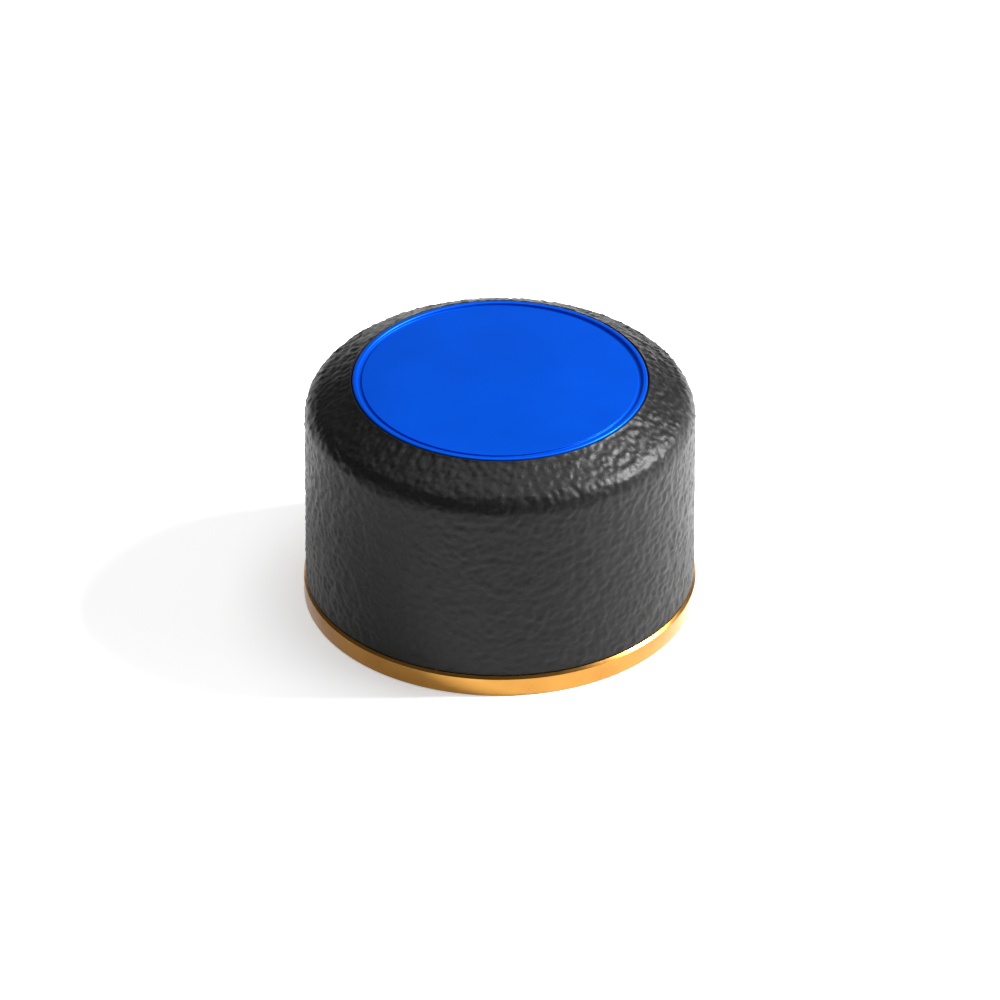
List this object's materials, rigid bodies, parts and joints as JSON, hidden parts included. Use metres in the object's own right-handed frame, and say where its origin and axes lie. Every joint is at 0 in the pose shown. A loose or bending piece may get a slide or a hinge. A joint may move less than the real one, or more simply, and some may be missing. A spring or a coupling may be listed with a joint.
{
  "type": "survey prism",
  "caption": "Round canister holding a glass corner-cube reflector, with a lift-off front cover, textured housing, brass base ring and tapped base for bolting down.",
  "frame": {"origin": "middle of the base face, at the bottom of the brass ring", "axes": "+Z out of the prism's face, through the cover; +X through the vent screw and one mounting hole"},
  "size_m": [0.084, 0.084, 0.0529],
  "materials": {
    "blue_anodised": "satin royal-blue anodised",
    "black_powder_coat": "coarse pebbled black powder coat",
    "black_anodised": "matt black anodised",
    "brass": "fine-turned and lacquered",
    "optical_glass": "polished and coated",
    "copper_coating": "copper mirror under dark lacquer",
    "black_rubber": "matt nitrile",
    "grey_foam": "closed-cell foam",
    "black_acetal": "moulded, fine grain",
    "spring_steel": "bright rolled",
    "stainless_steel": "machined"
  },
  "bodies": {
    "canister": {"housing": "black_powder_coat", "retaining_ring": "black_anodised", "front_gasket": "black_rubber", "prism_glass": "optical_glass", "reflector_coating": "copper_coating", "cushion_pads": "grey_foam", "prism_cradle": "black_acetal", "spring_washer": "spring_steel", "wave_spring": "spring_steel", "locating_pins": "spring_steel", "base_plate": "black_anodised", "base_o_ring": "black_rubber", "base_gasket": "black_rubber", "mount_inserts": "brass", "vent_screw": "stainless_steel", "vent_seal": "black_rubber", "base_ring": "brass", "base_screws": "stainless_steel"},
    "cover": {"front_cover": "blue_anodised", "cover_o_ring": "black_rubber"}
  },
  "joints": [
    {"name": "cover_lift", "type": "slide", "parent": "canister", "child": "cover", "axis": [0, 0, 1], "range_m": [0, 0.04]}
  ]
}
